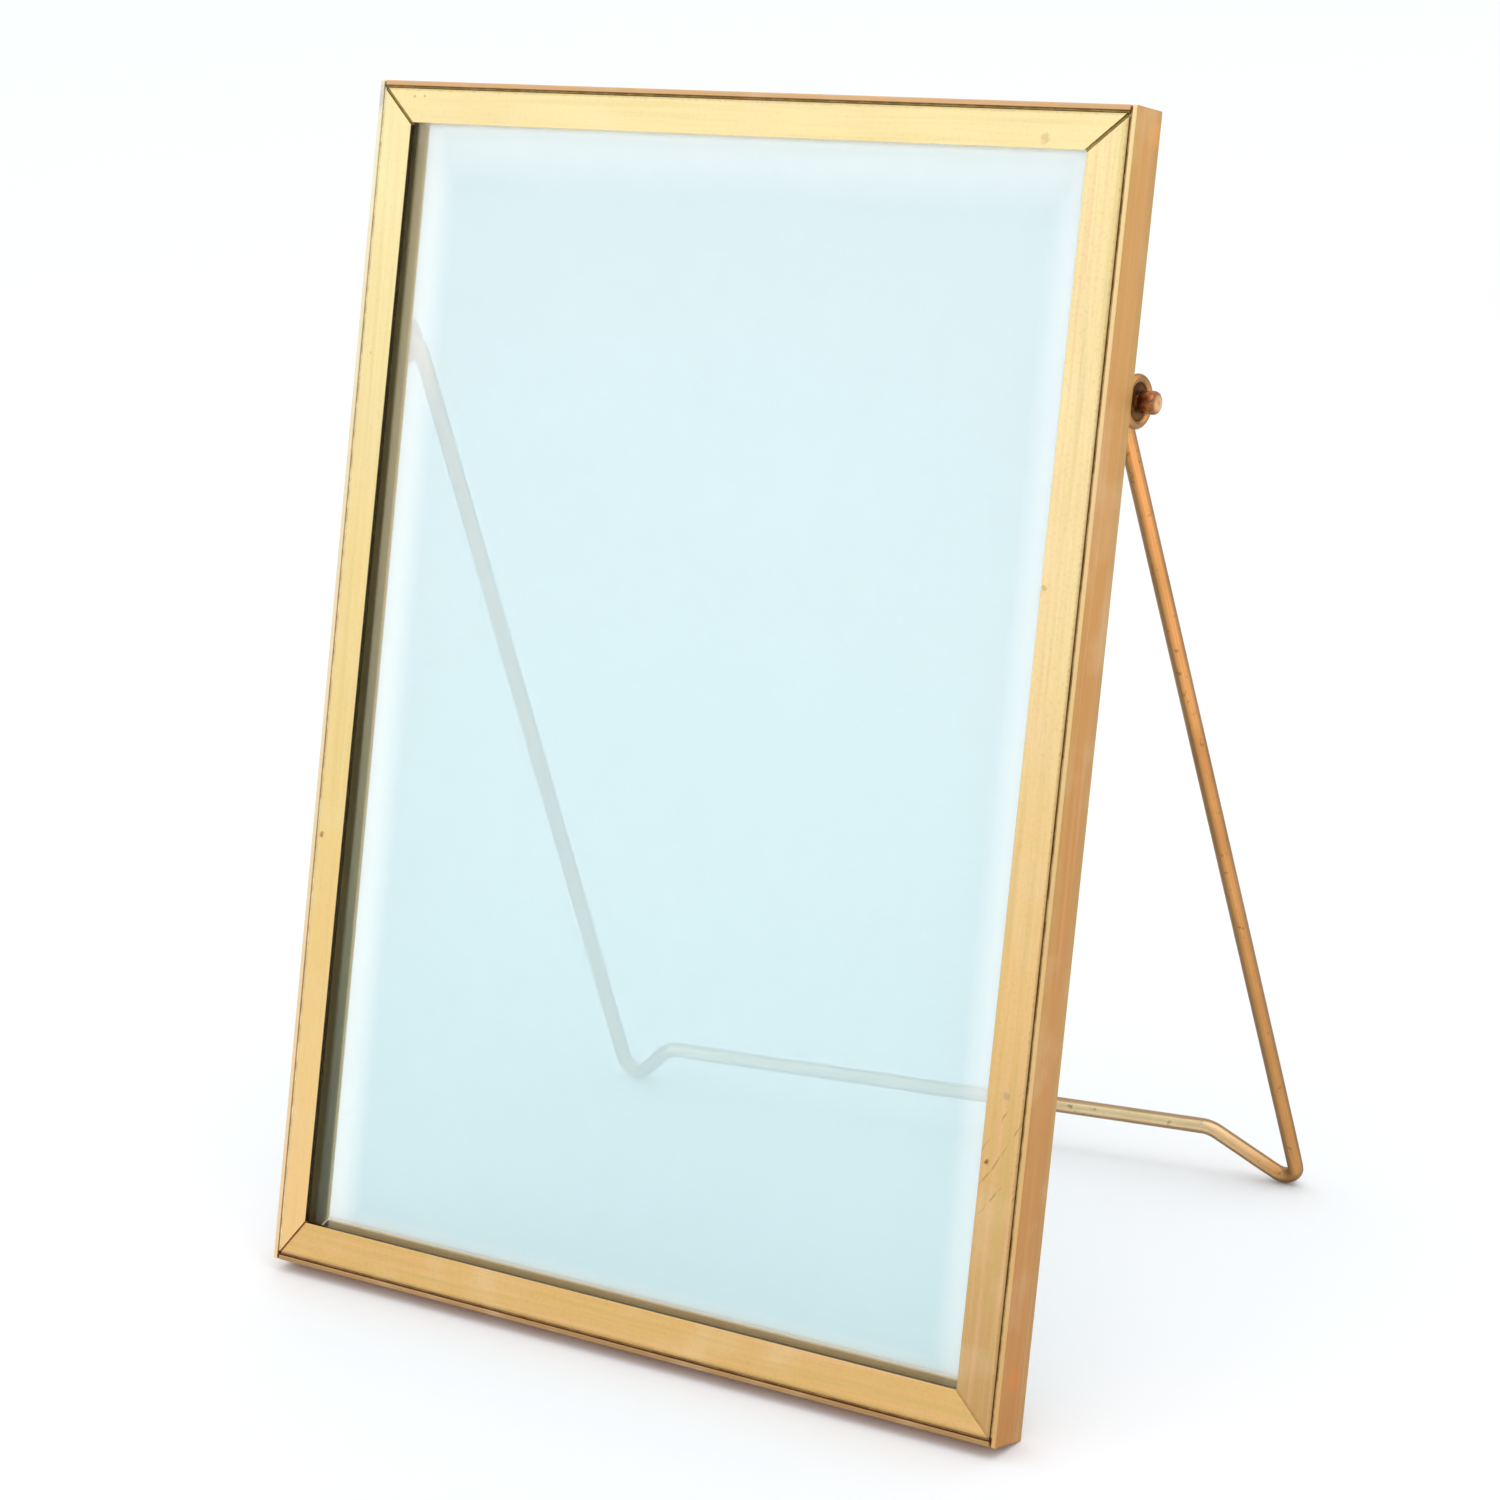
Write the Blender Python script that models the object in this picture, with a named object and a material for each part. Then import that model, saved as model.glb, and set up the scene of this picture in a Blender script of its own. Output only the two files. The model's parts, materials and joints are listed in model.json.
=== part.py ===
"""Tabletop floating frame: two panes of glass in a brass casing, leaning on a bent wire stand.

The casing is a shallow box of four thin brass walls. Mitred brass strips close its front and its
back round the edge of the glass. The top wall and its two strips are one cap that lifts off along
the casing, and the two panes then slide up and out. The stand is one bent wire whose ends turn
outwards through two ring eyes on the back, so it folds flat for storage.

The casing is modelled upright, with X to the right, Y from its front to its back and Z up along
it, and is parented to an empty that leans it back on its rear bottom edge.
"""

import math

import bmesh
import bpy
from mathutils import Euler, Vector

MM = 0.001

# Casing, seen upright.
GLASS_WIDTH = 127.0 * MM           # a 5 x 7 inch pane
GLASS_HEIGHT = 177.8 * MM
GLASS_THICKNESS = 1.8 * MM
GLASS_SIDE_CLEARANCE = 1.55 * MM   # room beside each pane
GLASS_TOP_CLEARANCE = 2.8 * MM     # room above each pane, under the cap
PICTURE_GAP = 0.9 * MM             # between the panes, where a picture or a pressed flower goes
WALL = 0.75 * MM
TOUCH_GAP = 0.3 * MM               # kept between pieces that touch on the real frame

# The strips are cut and fitted by hand, and aren't all one width.
RIGHT_STRIP = 6.0 * MM
CAP_STRIP = 5.1 * MM
BOTTOM_STRIP = 5.55 * MM
LEFT_FRONT_STRIP = (4.5 * MM, 5.45 * MM)   # at its bottom and at its top
LEFT_BACK_STRIP = (4.95 * MM, 4.95 * MM)
FRONT_STRIP_THICKNESS = 1.0 * MM
BACK_STRIP_THICKNESS = 0.7 * MM
STRIP_RECESS = 0.1 * MM            # how far the strips sit below the edges of the walls
SEAM = 0.4 * MM                    # dark line between a strip and the wall beside it
SOLDERED_MITRE = 0.3 * MM
OPEN_MITRE = 0.5 * MM              # at the top corners, where the cap lifts away
WALL_BEVEL = 0.16 * MM
STRIP_BEVEL = 0.1 * MM
GLASS_BEVEL = 0.15 * MM
CORNER_SOLDER = 0.8 * MM           # leg of the solder fillet in each bottom corner

# Stand.
LEAN = math.radians(16.5)          # casing from the vertical
WIRE_RADIUS = 1.3 * MM
PIVOT_HEIGHT = 143.6 * MM          # up the casing
PIVOT_STAND_OFF = 4.1 * MM         # from the back strips to the hinge line
LEG_AT_TOP = 61.5 * MM             # from the middle of the frame
WIRE_TIP = 67.8 * MM
TOP_BEND = 2.0 * MM
FOOT_BEND = 2.6 * MM
BAR_BEND = 5.0 * MM
FOOT_RISE = 9.6 * MM               # from the foot's corner up to the crossbar, along the leg
# The wire is bent by hand and isn't quite true: its right leg opens further than its left one, and
# its feet and the corners of its crossbar are at different distances from the middle.
RIGHT_OPENING = math.radians(35.8)
LEFT_OPENING = math.radians(31.8)
RIGHT_FOOT = 61.1 * MM
LEFT_FOOT = 61.8 * MM
RIGHT_BAR_CORNER = 47.0 * MM
LEFT_BAR_CORNER = 51.2 * MM

# Ring eyes, with the solder foot that each stands on.
RING_RADIUS = 3.2 * MM
RING_WIRE = 0.65 * MM
RING_AT = 64.3 * MM                # from the middle of the frame
EYE_FOOT_SIZE = Vector((1.9, 0.9, 3.6)) * MM

# Sizes that follow from the ones above.
INNER_WIDTH = GLASS_WIDTH + 2 * GLASS_SIDE_CLEARANCE
INNER_HEIGHT = TOUCH_GAP + GLASS_HEIGHT + GLASS_TOP_CLEARANCE
WIDTH = INNER_WIDTH + 2 * WALL
HEIGHT = INNER_HEIGHT + 2 * WALL
DEPTH = (2 * STRIP_RECESS + FRONT_STRIP_THICKNESS + BACK_STRIP_THICKNESS
         + 2 * GLASS_THICKNESS + PICTURE_GAP + 2 * TOUCH_GAP)
FRONT_GLASS_FACE = STRIP_RECESS + FRONT_STRIP_THICKNESS + TOUCH_GAP
BACK_GLASS_FACE = FRONT_GLASS_FACE + GLASS_THICKNESS + PICTURE_GAP
BACK_STRIP_FACE = DEPTH - STRIP_RECESS
PIVOT_DEPTH = BACK_STRIP_FACE + PIVOT_STAND_OFF


def clear_scene():
    """Removes every object of the scene that the script starts in."""
    for thing in list(bpy.data.objects):
        bpy.data.objects.remove(thing, do_unlink=True)


def make_material(name, colour, roughness, metallic, transmission=0.0):
    """A Principled material with a plain linear colour."""
    material = bpy.data.materials.new(name)
    material.use_nodes = True
    shader = material.node_tree.nodes["Principled BSDF"]
    shader.inputs["Base Color"].default_value = (*colour, 1.0)
    shader.inputs["Roughness"].default_value = roughness
    shader.inputs["Metallic"].default_value = metallic
    shader.inputs["Transmission Weight"].default_value = transmission
    return material


def link_object(name, data, material, parent=None):
    """Adds an object with one material to the scene."""
    piece = bpy.data.objects.new(name, data)
    bpy.context.scene.collection.objects.link(piece)
    data.materials.append(material)
    piece.parent = parent
    return piece


def add_bevel(piece, width, segments=2):
    """Rounds the sharp edges of a piece."""
    bevel = piece.modifiers.new("edge_rounding", "BEVEL")
    bevel.width = width
    bevel.segments = segments
    bevel.limit_method = "ANGLE"
    bevel.angle_limit = math.radians(30)


def extruded_outline(name, corners, front, back, material, parent):
    """A flat plate: an outline of (x, z) corners, anticlockwise from the front, made thick in Y."""
    mesh = bmesh.new()
    face = mesh.faces.new([mesh.verts.new((x, front, z)) for x, z in corners])
    grown = bmesh.ops.extrude_face_region(mesh, geom=[face])
    moved = [item for item in grown["geom"] if isinstance(item, bmesh.types.BMVert)]
    bmesh.ops.translate(mesh, verts=moved, vec=(0, back - front, 0))
    bmesh.ops.recalc_face_normals(mesh, faces=mesh.faces)
    data = bpy.data.meshes.new(name)
    mesh.to_mesh(data)
    mesh.free()
    return link_object(name, data, material, parent)


def plate(name, low, high, front, back, material, parent):
    """A rectangular plate between two (x, z) corners."""
    corners = [low, (high[0], low[1]), high, (low[0], high[1])]
    return extruded_outline(name, corners, front, back, material, parent)


def build_walls(brass, casing, cap):
    """The four walls. The side walls run the full height, and the other two stand between them."""
    inner = INNER_WIDTH / 2
    outer = WIDTH / 2
    reach = inner - TOUCH_GAP
    top = HEIGHT - WALL
    walls = [
        plate("left_wall", (-outer, 0), (-inner, HEIGHT), 0, DEPTH, brass, casing),
        plate("right_wall", (inner, 0), (outer, HEIGHT), 0, DEPTH, brass, casing),
        plate("bottom_wall", (-reach, 0), (reach, WALL), 0, DEPTH, brass, casing),
        plate("cap_wall", (-reach, top), (reach, HEIGHT), 0, DEPTH, brass, cap),
    ]
    for wall in walls:
        add_bevel(wall, WALL_BEVEL)


def build_strips(side, front, back, left_widths, brass, casing, cap):
    """The four mitred strips that close one side of the casing round the glass."""
    left, right = -INNER_WIDTH / 2 + SEAM, INNER_WIDTH / 2 - SEAM
    bottom, top = WALL + SEAM, HEIGHT - WALL - SEAM
    # The visible opening. Its left edge slants a little where the left strip tapers.
    low_left, high_left = left + left_widths[0], left + left_widths[1]
    inner_right = right - RIGHT_STRIP
    sill, head = bottom + BOTTOM_STRIP, top - CAP_STRIP
    # A mitre near 45 degrees shortens each of its two strips by half of its gap over cos 45.
    low = SOLDERED_MITRE / math.sqrt(2)
    high = OPEN_MITRE / math.sqrt(2)
    outlines = {
        f"bottom_{side}_strip": [(left + low, bottom), (right - low, bottom),
                                 (inner_right - low, sill), (low_left + low, sill)],
        f"cap_{side}_strip": [(high_left + high, head), (inner_right - high, head),
                              (right - high, top), (left + high, top)],
        f"left_{side}_strip": [(left, bottom + low), (low_left, sill + low),
                               (high_left, head - high), (left, top - high)],
        f"right_{side}_strip": [(inner_right, sill + low), (right, bottom + low),
                                (right, top - high), (inner_right, head - high)],
    }
    for name, corners in outlines.items():
        holder = cap if name.startswith("cap") else casing
        strip = extruded_outline(name, corners, front, back, brass, holder)
        add_bevel(strip, STRIP_BEVEL)


def build_corner_solder(name, side, solder, casing):
    """A solder fillet inside a bottom corner, where the bottom wall meets a side wall."""
    corner = Vector((side * (INNER_WIDTH / 2 - TOUCH_GAP), WALL + TOUCH_GAP))
    corners = [corner, corner + Vector((0, CORNER_SOLDER)), corner - Vector((side * CORNER_SOLDER, 0))]
    if side < 0:
        corners.reverse()
    inset = FRONT_STRIP_THICKNESS + STRIP_RECESS + TOUCH_GAP
    extruded_outline(name, corners, inset, DEPTH - inset, solder, casing)


def build_pane(name, front, glass, lean):
    """One pane of glass, standing on the bottom wall."""
    foot = WALL + TOUCH_GAP
    half = GLASS_WIDTH / 2
    pane = plate(name, (-half, foot), (half, foot + GLASS_HEIGHT),
                 front, front + GLASS_THICKNESS, glass, lean)
    add_bevel(pane, GLASS_BEVEL, segments=1)


def build_eye(name, side, brass, casing):
    """A ring eye: a brass ring across the frame, standing on a small foot of solder."""
    bpy.ops.mesh.primitive_torus_add(
        major_radius=RING_RADIUS, minor_radius=RING_WIRE, major_segments=40, minor_segments=14,
        location=(side * RING_AT, PIVOT_DEPTH, PIVOT_HEIGHT), rotation=(0, math.pi / 2, 0))
    eye = bpy.context.object
    eye.name = name
    eye.data.name = name
    eye.data.materials.append(brass)
    eye.parent = casing

    foot_front = BACK_STRIP_FACE + TOUCH_GAP
    bpy.ops.mesh.primitive_cube_add(
        size=1, location=(side * RING_AT, foot_front + EYE_FOOT_SIZE.y / 2, PIVOT_HEIGHT))
    foot = bpy.context.object
    foot.name = f"{name}_foot_shape"
    foot.scale = EYE_FOOT_SIZE
    bpy.ops.object.transform_apply(location=False, rotation=False, scale=True)
    foot.parent = casing
    foot.hide_render = True
    foot.display_type = "WIRE"
    add_bevel(foot, 0.3 * MM)

    join = eye.modifiers.new("solder_foot", "BOOLEAN")
    join.operation = "UNION"
    join.object = foot
    join.solver = "EXACT"
    bpy.context.view_layer.objects.active = eye
    bpy.ops.object.modifier_apply(modifier=join.name)
    bpy.data.objects.remove(foot, do_unlink=True)
    smooth(eye)


def smooth(piece):
    """Smooth shading with sharp edges kept."""
    piece.data.shade_smooth()
    piece.data.set_sharp_from_angle(angle=math.radians(40))


def rounded_path(points, radii, steps=7):
    """The points of a polyline whose inner corners are arcs of the given radii."""
    path = [points[0]]
    for before, corner, after, radius in zip(points, points[1:], points[2:], radii):
        towards_before = (before - corner).normalized()
        towards_after = (after - corner).normalized()
        half_angle = towards_before.angle(towards_after) / 2
        middle = (towards_before + towards_after).normalized()
        centre = corner + middle * (radius / math.sin(half_angle))
        tangent = radius / math.tan(half_angle)
        start = corner + towards_before * tangent - centre
        end = corner + towards_after * tangent - centre
        side = start.cross(end).normalized().cross(start)
        sweep = start.angle(end)
        for step in range(steps + 1):
            angle = sweep * step / steps
            path.append(centre + start * math.cos(angle) + side * math.sin(angle))
    path.append(points[-1])
    return path


def foot_corner_drop(foot, bar_corner):
    """How far down the leg a foot's sharp corner lies past the end of its rounded bend."""
    spread = math.atan2(foot - bar_corner, FOOT_RISE)
    return FOOT_BEND / math.tan(spread / 2) - FOOT_BEND


def pivot_in_casing():
    """The middle of the hinge line, in the casing's own upright axes."""
    return Vector((0, PIVOT_DEPTH, PIVOT_HEIGHT))


def leg_directions():
    """Unit directions down the right and the left leg, in world axes."""
    directions = []
    for opening in (RIGHT_OPENING, LEFT_OPENING):
        slope = opening - LEAN
        directions.append(Vector((0, math.sin(slope), -math.cos(slope))))
    return directions


def standing_lengths(pivot_height):
    """How far down its leg each foot meets the ground, measured to the middle of the wire."""
    return [(pivot_height - WIRE_RADIUS) / -direction.z for direction in leg_directions()]


def wire_corners(pivot_height):
    """The corners of the stand's wire from its right tip to its left tip, about its hinge line."""
    right_way, left_way = leg_directions()
    right_length, left_length = standing_lengths(pivot_height)
    right_length += foot_corner_drop(RIGHT_FOOT, RIGHT_BAR_CORNER)
    left_length += foot_corner_drop(LEFT_FOOT, LEFT_BAR_CORNER)
    across = Vector((1, 0, 0))
    right_half = [
        across * WIRE_TIP,
        across * LEG_AT_TOP,
        across * RIGHT_FOOT + right_way * right_length,
        across * RIGHT_BAR_CORNER + right_way * (right_length - FOOT_RISE),
    ]
    left_half = [
        -across * LEFT_BAR_CORNER + left_way * (left_length - FOOT_RISE),
        -across * LEFT_FOOT + left_way * left_length,
        -across * LEG_AT_TOP,
        -across * WIRE_TIP,
    ]
    return right_half + left_half


def build_stand(brass, pivot):
    """The stand: one bent wire with rounded ends. Its origin is on its hinge line."""
    bends = [TOP_BEND, FOOT_BEND, BAR_BEND, BAR_BEND, FOOT_BEND, TOP_BEND]
    path = rounded_path(wire_corners(pivot.z), bends)
    # Each end is rounded off by points of growing radius.
    right_end = []
    for degrees in (20, 45, 70):
        angle = math.radians(degrees)
        back = WIRE_RADIUS * (1 - math.cos(angle))
        right_end.append((path[0] - Vector((back, 0, 0)), math.sin(angle)))
    left_end = [(Vector((-point.x, 0, 0)), size) for point, size in reversed(right_end)]
    sized_path = right_end + [(point, 1.0) for point in path[1:-1]] + left_end

    data = bpy.data.curves.new("wire_stand", "CURVE")
    data.dimensions = "3D"
    data.bevel_depth = WIRE_RADIUS
    data.bevel_resolution = 3
    data.use_fill_caps = True
    spline = data.splines.new("POLY")
    spline.points.add(len(sized_path) - 1)
    for point, (place, size) in zip(spline.points, sized_path):
        point.co = (*place, 1.0)
        point.radius = size
    stand = link_object("wire_stand", data, brass)
    stand.location = pivot


def main():
    clear_scene()
    face_brass = make_material("brass_face", (0.86, 0.64, 0.33), 0.38, 1.0)
    wall_brass = make_material("brass_wall", (0.78, 0.52, 0.27), 0.42, 1.0)
    back_brass = make_material("brass_back", (0.70, 0.50, 0.24), 0.45, 1.0)
    wire_brass = make_material("brass_wire", (0.74, 0.47, 0.23), 0.36, 1.0)
    solder = make_material("solder", (0.47, 0.45, 0.40), 0.5, 1.0)
    glass = make_material("clear_glass", (0.86, 0.95, 0.96), 0.02, 0.0, transmission=1.0)

    # The casing stands on its rear bottom edge, and the whole object is centred on the origin.
    upright_to_world = Euler((-LEAN, 0, 0)).to_matrix()
    pivot_offset = upright_to_world @ pivot_in_casing()
    front_edge_height = DEPTH * math.sin(LEAN)
    pivot_height = pivot_offset.z + front_edge_height
    reach = standing_lengths(pivot_height)[0] * leg_directions()[0].y
    front_edge = -(pivot_offset.y + reach + WIRE_RADIUS) / 2

    lean = bpy.data.objects.new("leaning_casing", None)
    lean.location = (0, front_edge, front_edge_height)
    lean.rotation_euler = (-LEAN, 0, 0)
    bpy.context.scene.collection.objects.link(lean)
    cap = bpy.data.objects.new("lift_off_cap", None)
    cap.parent = lean
    bpy.context.scene.collection.objects.link(cap)

    build_walls(wall_brass, lean, cap)
    build_strips("front", STRIP_RECESS, STRIP_RECESS + FRONT_STRIP_THICKNESS,
                 LEFT_FRONT_STRIP, face_brass, lean, cap)
    build_strips("back", BACK_STRIP_FACE - BACK_STRIP_THICKNESS, BACK_STRIP_FACE,
                 LEFT_BACK_STRIP, back_brass, lean, cap)
    build_corner_solder("left_corner_solder", -1, solder, lean)
    build_corner_solder("right_corner_solder", 1, solder, lean)
    build_pane("front_glass", FRONT_GLASS_FACE, glass, lean)
    build_pane("back_glass", BACK_GLASS_FACE, glass, lean)
    build_eye("left_eye", -1, wire_brass, lean)
    build_eye("right_eye", 1, wire_brass, lean)
    build_stand(wire_brass, Vector((0, front_edge + pivot_offset.y, pivot_height)))


main()
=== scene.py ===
"""Looks of a tabletop floating frame: two glass panes in a brass casing on a bent wire stand.

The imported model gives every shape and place. This script adds the finishes, a few small pieces that
are only for the eye, a pale floor, soft studio light and the camera.
"""

import json
import math

import bmesh
import bpy
from mathutils import Euler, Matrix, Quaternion, Vector


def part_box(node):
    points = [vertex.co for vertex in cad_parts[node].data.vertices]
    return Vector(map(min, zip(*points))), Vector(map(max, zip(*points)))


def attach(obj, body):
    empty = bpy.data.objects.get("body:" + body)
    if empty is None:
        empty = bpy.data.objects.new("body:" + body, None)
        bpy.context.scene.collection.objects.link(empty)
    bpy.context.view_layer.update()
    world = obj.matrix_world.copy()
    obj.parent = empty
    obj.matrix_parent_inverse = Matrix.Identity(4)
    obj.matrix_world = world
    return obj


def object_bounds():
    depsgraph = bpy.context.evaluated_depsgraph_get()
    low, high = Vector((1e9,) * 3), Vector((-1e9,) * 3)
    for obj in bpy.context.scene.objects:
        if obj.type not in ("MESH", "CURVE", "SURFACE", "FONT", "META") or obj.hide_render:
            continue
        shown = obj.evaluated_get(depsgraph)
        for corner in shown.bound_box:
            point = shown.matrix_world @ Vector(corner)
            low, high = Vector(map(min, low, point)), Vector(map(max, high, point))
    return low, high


MM = 0.001

# Camera, round the point that it looks at.
CAMERA_TARGET = Vector((0.0117, -0.0213, 0.0866))
CAMERA_DISTANCE = 0.548
CAMERA_AZIMUTH = math.radians(36.18)
CAMERA_ELEVATION = math.radians(17.77)
CAMERA_ROLL = math.radians(-3.97)
CAMERA_LENS = 91.8

# Studio, as linear colours.
SKY_LOW = (0.67, 0.70, 0.75)
SKY_HIGH = (1.12, 1.14, 1.17)
SKY_FULL_HEIGHT = 0.42             # the height, as a direction, where the sky reaches its high colour
SKY_LEFT, SKY_RIGHT = 1.12, 0.9    # how bright each side is
FLOOR_COLOUR = (0.885, 0.89, 0.895)
FLOOR_SIZE = 8.0
FLOOR_GAP = 0.02 * MM              # below the lowest point of the object
LAMP_PLACE = (0.55, -0.15, 1.15)
LAMP_TARGET = Vector((0.0, 0.0, 0.08))
LAMP_SIZE = 0.7
LAMP_ENERGY = 2.3
LAMP_COLOUR = (1.0, 0.97, 0.93)

# Brass of each piece, as linear colours from the bottom of the casing to its top. These hold painted
# light and shade: paler high up and darker low down, and darker on the walls and back strips than on
# the front faces.
LEFT_FACE = ((0.95, 0.62, 0.27), (0.96, 0.69, 0.27), (0.97, 0.78, 0.36), (0.98, 0.86, 0.45))
RIGHT_FACE = ((0.56, 0.33, 0.125), (0.90, 0.58, 0.235), (1.0, 0.78, 0.395), (0.98, 0.80, 0.40))
CAP_FACE = ((1.0, 0.78, 0.395), (0.98, 0.80, 0.40))
BOTTOM_FACE = ((0.80, 0.50, 0.18), (0.84, 0.54, 0.20))
BACK_FACE = ((0.60, 0.38, 0.15), (0.72, 0.50, 0.22))
WALL_LOW = (0.53, 0.23, 0.066)
WALL_MIDDLE = (0.59, 0.285, 0.082)
WALL_TOP = (0.73, 0.38, 0.115)
# Painted highlight on the cap's lower cut edge and at the top of the left wall.
CREAM_HIGHLIGHT = (0.97, 0.90, 0.66)
# Painted shade on the cut edges beside the glass, which lie in shadow.
CUT_EDGE_SHADE = (0.055, 0.035, 0.016)

# Front edge of each wall, at the bottom and at the top: painted highlights on the left and right
# walls, painted shade on the bottom wall and the cap.
LEFT_RIM = ((0.90, 0.68, 0.40), (0.93, 0.88, 0.62))
RIGHT_RIM = ((0.72, 0.42, 0.17), (0.95, 0.72, 0.36))
BOTTOM_RIM = ((0.42, 0.245, 0.105), (0.42, 0.245, 0.105))
CAP_RIM = ((0.70, 0.43, 0.22), (0.70, 0.43, 0.22))

# What is laid over the brass.
CLOUD_COLOUR = (0.72, 0.46, 0.20)
PALE_COLOUR = (1.0, 0.93, 0.66)
GRAIN_COLOUR = (0.35, 0.20, 0.07)
OLIVE_COLOUR = (0.62, 0.47, 0.15)
ROSY_COLOUR = (0.90, 0.55, 0.32)
SPECKLE_COLOUR = (0.42, 0.26, 0.10)
BACK_EDGE_COLOUR = (0.44, 0.30, 0.12)
# Painted shade along the outer edges beside the seams.
SEAM_SHADE_COLOUR = (0.36, 0.22, 0.075)
SCRATCH_COLOUR = (0.33, 0.20, 0.07)
SPOT = (0.24, 0.12, 0.04)
BRUSHED_UP = (2.2, 2.2, 0.06)      # the grain's waves per millimetre across, back and up
BRUSHED_ACROSS = (0.06, 2.2, 2.2)
CLOUD_WAVES, PALE_WAVES, SPECKLE_WAVES = 0.055, 0.11, 1.6   # waves per millimetre
MOTTLE_WIDTH = 0.33                # waves of the mottling for each wave of the grain
CLOUD_STRENGTH, PALE_STRENGTH = 0.16, 0.14
GRAIN_STRENGTH, MOTTLE_STRENGTH, SPECKLE_STRENGTH = 0.10, 0.32, 0.16
SCRATCH_STRENGTH = 0.6
SCRATCH_SLOPE = (0.85, 0.53)       # how the scratches' pattern runs across and up
SCRATCH_WAVES = 2.4
SCRATCH_WANDER = 1.6               # millimetres that they stray from straight
SCRATCHED_FROM, SCRATCHED_TO = 31.0, 50.0   # up the casing, in millimetres

# Roughness of each brass, and how far it varies below and above that.
LEFT_FACE_ROUGHNESS = 0.36
RIGHT_FACE_ROUGHNESS = 0.38
CAP_FACE_ROUGHNESS = 0.34
BOTTOM_FACE_ROUGHNESS = 0.40
BACK_FACE_ROUGHNESS = 0.45
WALL_ROUGHNESS = 0.42
ROUGHNESS_BELOW, ROUGHNESS_ABOVE = 0.06, 0.07

# Painted shade along the outer edges beside the seams: the axis, the edge's place on it in
# millimetres, and the strength.
RIGHT_SEAM_SHADE = (0, 64.65, 0.6)
CAP_SEAM_SHADE = (2, 181.25, 0.4)
BOTTOM_SEAM_SHADE = (2, 1.15, 0.5)

# The ways that the cut edges beside the glass face.
RIGHTWARDS, LEFTWARDS = (1.0, 0.0, 0.0), (-1.0, 0.0, 0.0)
UPWARDS, DOWNWARDS = (0.0, 0.0, 1.0), (0.0, 0.0, -1.0)

# Marks on the brass: centre in casing millimetres, radius in millimetres, strength and colour.
LEFT_FACE_MARKS = [((-64.0, 0.1, 66.7), 0.6, 0.7, SPOT),
                   ((-63.0, 0.1, 141.0), 0.3, 0.3, SPOT)]
RIGHT_FACE_MARKS = [((59.2, 0.1, 117.2), 0.55, 0.5, (0.42, 0.33, 0.12)),
                    ((59.7, 0.1, 38.5), 0.5, 0.9, SPOT),
                    ((61.7, 0.1, 48.0), 0.7, 0.4, (0.38, 0.29, 0.16))]
CAP_FACE_MARKS = [((52.1, 0.1, 177.5), 1.0, 0.4, (0.60, 0.36, 0.13)),
                  ((-58.9, 0.1, 180.0), 0.3, 0.45, SPOT),
                  ((-57.0, 0.1, 180.1), 0.3, 0.45, SPOT)]
LEFT_WALL_MARKS = [((-65.6, 0.5, 179.8), 2.6, 0.55, (0.50, 0.50, 0.55))]
RIGHT_WALL_MARKS = [((65.8, 5.5, 179.0), 2.4, 0.6, (0.86, 0.42, 0.12)),
                    ((65.8, 3.0, 9.0), 2.4, 0.45, (0.72, 0.24, 0.06))]

# Wire of the stand. Its heights and its reach from the middle are in metres.
WIRE_LOW = (0.68, 0.33, 0.11)
WIRE_HIGH = (1.0, 0.46, 0.155)
# Painted highlight: the crossbar is paler than the legs.
CROSSBAR_HIGHLIGHT = (0.98, 0.74, 0.44)
WIRE_CLOUD_COLOUR = (0.48, 0.23, 0.07)
WIRE_LINE_COLOUR = (0.40, 0.22, 0.08)
# Painted shade along the wire's sides.
WIRE_SHADE_COLOUR = (0.22, 0.13, 0.055)
WIRE_PIT_COLOUR = (0.22, 0.11, 0.04)
HIGHLIGHT_WAY = (0.56, -0.76, 0.33)   # the way that the wire's painted highlight faces, and its opposite
LEG_LOW, LEG_HIGH = 0.03, 0.12      # heights between which a leg changes colour
BAR_TOP, LEG_FOOT = 0.014, 0.02     # heights between which the crossbar's colour ends
BAR_END, LEG_SIDE = 0.047, 0.060    # reach between which it ends

# Solder, lacquer and the hammered ends of the wire, dark and light. The collars in the eyes are
# painted shade, and the light colour at the wire's tips is a painted highlight.
SOLDER = ((0.36, 0.34, 0.29), (0.52, 0.49, 0.43))
BROWN_SEAM = ((0.34, 0.23, 0.08), (0.60, 0.44, 0.19))
UMBER_SEAM = ((0.26, 0.15, 0.06), (0.42, 0.26, 0.11))
OLIVE_SEAM = ((0.27, 0.20, 0.06), (0.44, 0.33, 0.13))
PALE_SEAM = ((0.66, 0.54, 0.30), (0.90, 0.78, 0.48))
RED_SEAM = ((0.34, 0.14, 0.06), (0.50, 0.24, 0.10))
WORN_SEAM = ((0.50, 0.32, 0.13), (0.66, 0.44, 0.19))
COLLAR_SHADE = ((0.10, 0.035, 0.006), (0.24, 0.10, 0.02))
PEENED = ((0.24, 0.085, 0.03), (0.46, 0.20, 0.08))
PEENED_HIGHLIGHT = (0.80, 0.44, 0.22)

# Seams round the front, in casing millimetres. Each is the middle of its seam.
SIDE_SEAM = 64.85                  # from the middle
BOTTOM_SEAM = 0.95                 # up the casing
TOP_SEAM = 181.45

# Cross-section of a bead in a seam: share of its half width, and millimetres below its crest.
BEAD_PROFILE = ((-1.0, 0.3), (-0.8, 0.06), (0.0, 0.0), (0.8, 0.06), (1.0, 0.3))

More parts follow.
